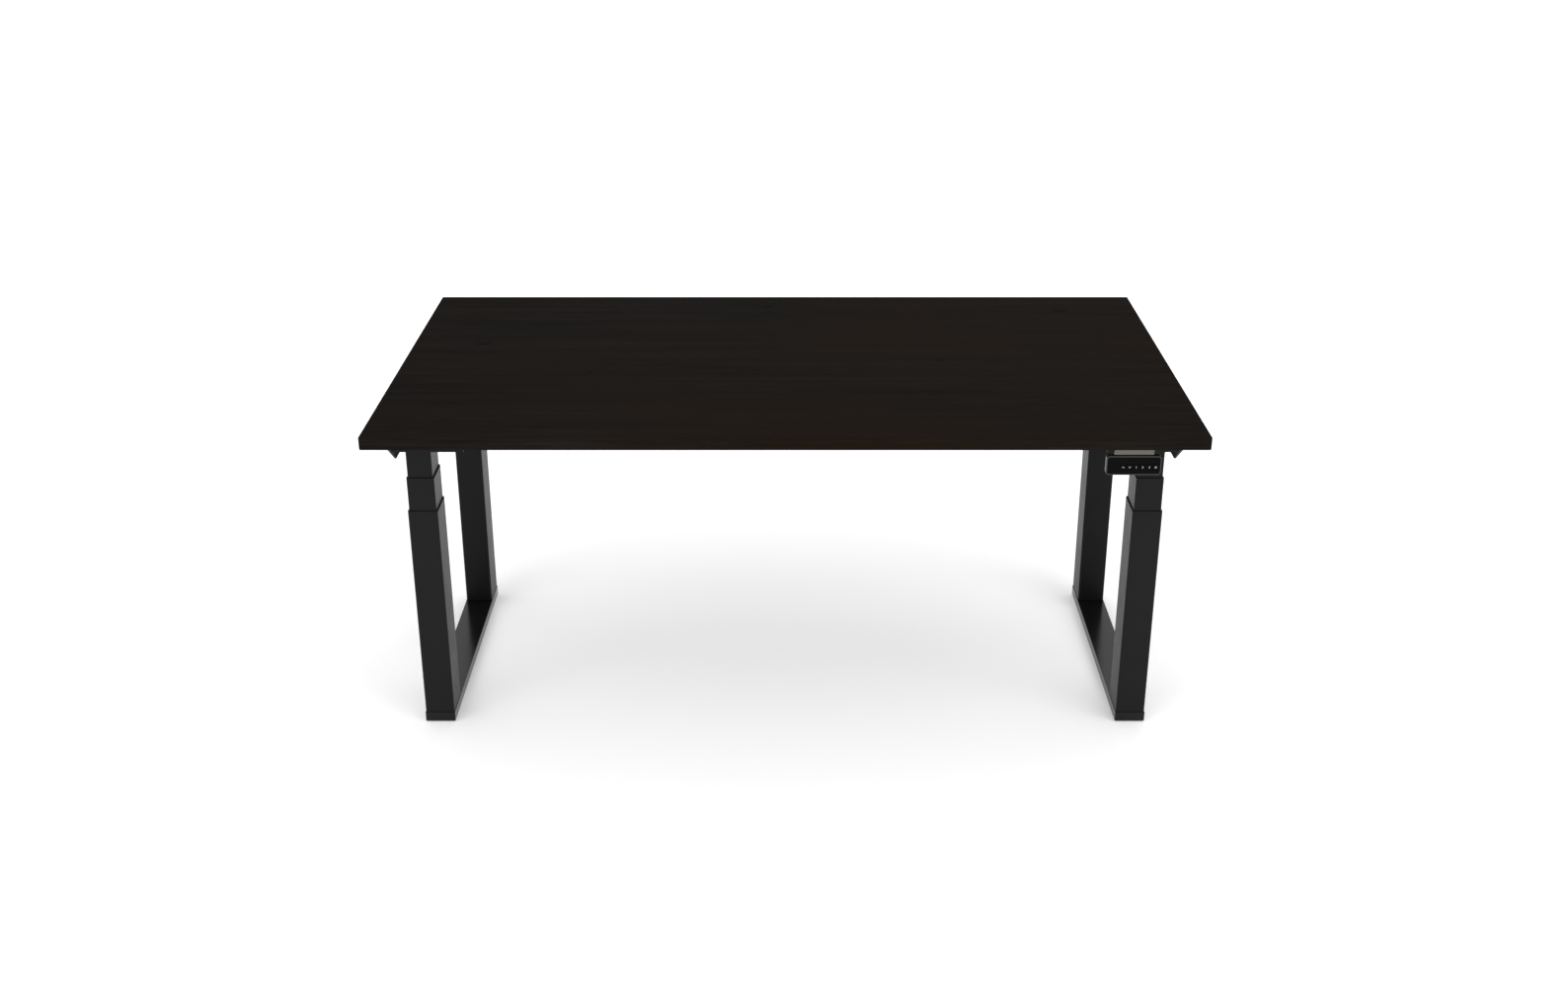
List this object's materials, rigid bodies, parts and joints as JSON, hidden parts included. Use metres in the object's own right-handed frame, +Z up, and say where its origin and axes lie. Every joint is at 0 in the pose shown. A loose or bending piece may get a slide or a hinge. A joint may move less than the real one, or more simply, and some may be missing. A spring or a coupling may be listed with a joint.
{
  "type": "height adjustable standing desk",
  "caption": "Standing desk: dark wood top raised by two U-shaped legs of three-stage telescopic columns, with a key handset under the front edge.",
  "frame": {"origin": "on the floor below the middle of the table top", "axes": "+X along the front edge to the user's right, -Y towards the user, +Z up"},
  "size_m": [1.6, 0.9, 0.7],
  "materials": {
    "table_laminate": "matt near-black brown laminate with fine wood grain along X",
    "frame_paint": "satin black powder coat",
    "column_paint": "satin black powder coat, slightly reflective",
    "glide_plastic": "black low-friction plastic",
    "bare_steel": "plain machined steel",
    "nut_plastic": "natural acetal",
    "bolt_steel": "blackened steel",
    "foot_rubber": "black rubber-faced glide",
    "box_plastic": "fine-textured black plastic",
    "box_steel": "black painted sheet",
    "bracket_metal": "grey anodised sheet",
    "handset_plastic": "satin black plastic",
    "handset_gloss": "glossy black face",
    "key_gloss": "glossy black keys with white signs",
    "board": "green circuit board"
  },
  "bodies": {
    "base": {"floor_bar_left": "frame_paint", "floor_bar_right": "frame_paint", "levelling_feet": "foot_rubber", "base_bolts": "bolt_steel", "outer_collars": "glide_plastic", "base_screws": "bare_steel", "outer_tube_front_left": "column_paint", "outer_tube_rear_left": "column_paint", "outer_tube_front_right": "column_paint", "outer_tube_rear_right": "column_paint"},
    "top": {"table_top": "table_laminate", "side_plate_left": "frame_paint", "side_plate_right": "frame_paint", "crossbeam_front": "frame_paint", "crossbeam_rear": "frame_paint", "frame_bolts": "bolt_steel", "top_screws": "bolt_steel", "control_plate": "box_steel", "control_box": "box_plastic", "handset_bracket": "bracket_metal", "handset_case": "handset_plastic", "handset_face": "handset_gloss", "handset_board": "board", "motors": "bare_steel", "inner_shoes": "glide_plastic", "inner_tube_front_left": "column_paint", "inner_tube_rear_left": "column_paint", "inner_tube_front_right": "column_paint", "inner_tube_rear_right": "column_paint"},
    "middle_front_left": {"middle_tube_front_left": "column_paint", "middle_glides_front_left": "glide_plastic", "lift_tube_front_left": "bare_steel", "lift_nut_front_left": "nut_plastic"},
    "screw_front_left": {"lift_screw_front_left": "bare_steel"},
    "drive_front_left": {"drive_tube_front_left": "bare_steel"},
    "middle_rear_left": {"middle_tube_rear_left": "column_paint", "middle_glides_rear_left": "glide_plastic", "lift_tube_rear_left": "bare_steel", "lift_nut_rear_left": "nut_plastic"},
    "screw_rear_left": {"lift_screw_rear_left": "bare_steel"},
    "drive_rear_left": {"drive_tube_rear_left": "bare_steel"},
    "middle_front_right": {"middle_tube_front_right": "column_paint", "middle_glides_front_right": "glide_plastic", "lift_tube_front_right": "bare_steel", "lift_nut_front_right": "nut_plastic"},
    "screw_front_right": {"lift_screw_front_right": "bare_steel"},
    "drive_front_right": {"drive_tube_front_right": "bare_steel"},
    "middle_rear_right": {"middle_tube_rear_right": "column_paint", "middle_glides_rear_right": "glide_plastic", "lift_tube_rear_right": "bare_steel", "lift_nut_rear_right": "nut_plastic"},
    "screw_rear_right": {"lift_screw_rear_right": "bare_steel"},
    "drive_rear_right": {"drive_tube_rear_right": "bare_steel"},
    "key_up": {"key_up": "key_gloss"},
    "key_down": {"key_down": "key_gloss"},
    "key_one": {"key_one": "key_gloss"},
    "key_two": {"key_two": "key_gloss"},
    "key_three": {"key_three": "key_gloss"},
    "key_store": {"key_store": "key_gloss"}
  },
  "joints": [
    {"name": "lift", "type": "slide", "parent": "base", "child": "top", "axis": [0, 0, 1], "range_m": [-0.12, 0.53]},
    {"name": "middle_slide_front_left", "type": "slide", "parent": "base", "child": "middle_front_left", "axis": [0, 0, 1], "range_m": [-0.06, 0.265]},
    {"name": "screw_turn_front_left", "type": "hinge", "parent": "top", "child": "screw_front_left", "pos_m": [-0.724, -0.26, 0.4], "axis": [0, 0, 1], "range_deg": [-2160, 9540]},
    {"name": "drive_turn_front_left", "type": "hinge", "parent": "middle_front_left", "child": "drive_front_left", "pos_m": [-0.724, -0.26, 0.3], "axis": [0, 0, 1], "range_deg": [-2160, 9540]},
    {"name": "middle_slide_rear_left", "type": "slide", "parent": "base", "child": "middle_rear_left", "axis": [0, 0, 1], "range_m": [-0.06, 0.265]},
    {"name": "screw_turn_rear_left", "type": "hinge", "parent": "top", "child": "screw_rear_left", "pos_m": [-0.724, 0.26, 0.4], "axis": [0, 0, 1], "range_deg": [-2160, 9540]},
    {"name": "drive_turn_rear_left", "type": "hinge", "parent": "middle_rear_left", "child": "drive_rear_left", "pos_m": [-0.724, 0.26, 0.3], "axis": [0, 0, 1], "range_deg": [-2160, 9540]},
    {"name": "middle_slide_front_right", "type": "slide", "parent": "base", "child": "middle_front_right", "axis": [0, 0, 1], "range_m": [-0.06, 0.265]},
    {"name": "screw_turn_front_right", "type": "hinge", "parent": "top", "child": "screw_front_right", "pos_m": [0.724, -0.26, 0.4], "axis": [0, 0, 1], "range_deg": [-2160, 9540]},
    {"name": "drive_turn_front_right", "type": "hinge", "parent": "middle_front_right", "child": "drive_front_right", "pos_m": [0.724, -0.26, 0.3], "axis": [0, 0, 1], "range_deg": [-2160, 9540]},
    {"name": "middle_slide_rear_right", "type": "slide", "parent": "base", "child": "middle_rear_right", "axis": [0, 0, 1], "range_m": [-0.06, 0.265]},
    {"name": "screw_turn_rear_right", "type": "hinge", "parent": "top", "child": "screw_rear_right", "pos_m": [0.724, 0.26, 0.4], "axis": [0, 0, 1], "range_deg": [-2160, 9540]},
    {"name": "drive_turn_rear_right", "type": "hinge", "parent": "middle_rear_right", "child": "drive_rear_right", "pos_m": [0.724, 0.26, 0.3], "axis": [0, 0, 1], "range_deg": [-2160, 9540]},
    {"name": "press_up", "type": "slide", "parent": "top", "child": "key_up", "axis": [0, 1, 0], "range_m": [0, 0.0008], "stiffness_N_per_m": 1500},
    {"name": "press_down", "type": "slide", "parent": "top", "child": "key_down", "axis": [0, 1, 0], "range_m": [0, 0.0008], "stiffness_N_per_m": 1500},
    {"name": "press_one", "type": "slide", "parent": "top", "child": "key_one", "axis": [0, 1, 0], "range_m": [0, 0.0008], "stiffness_N_per_m": 1500},
    {"name": "press_two", "type": "slide", "parent": "top", "child": "key_two", "axis": [0, 1, 0], "range_m": [0, 0.0008], "stiffness_N_per_m": 1500},
    {"name": "press_three", "type": "slide", "parent": "top", "child": "key_three", "axis": [0, 1, 0], "range_m": [0, 0.0008], "stiffness_N_per_m": 1500},
    {"name": "press_store", "type": "slide", "parent": "top", "child": "key_store", "axis": [0, 1, 0], "range_m": [0, 0.0008], "stiffness_N_per_m": 1500}
  ],
  "couplings": [
    {"joint": "middle_slide_front_left", "follows": "lift", "ratio": 0.5},
    {"joint": "screw_turn_front_left", "follows": "lift", "rad_per_m": 314.16},
    {"joint": "drive_turn_front_left", "follows": "lift", "rad_per_m": 314.16},
    {"joint": "middle_slide_rear_left", "follows": "lift", "ratio": 0.5},
    {"joint": "screw_turn_rear_left", "follows": "lift", "rad_per_m": 314.16},
    {"joint": "drive_turn_rear_left", "follows": "lift", "rad_per_m": 314.16},
    {"joint": "middle_slide_front_right", "follows": "lift", "ratio": 0.5},
    {"joint": "screw_turn_front_right", "follows": "lift", "rad_per_m": 314.16},
    {"joint": "drive_turn_front_right", "follows": "lift", "rad_per_m": 314.16},
    {"joint": "middle_slide_rear_right", "follows": "lift", "ratio": 0.5},
    {"joint": "screw_turn_rear_right", "follows": "lift", "rad_per_m": 314.16},
    {"joint": "drive_turn_rear_right", "follows": "lift", "rad_per_m": 314.16}
  ]
}
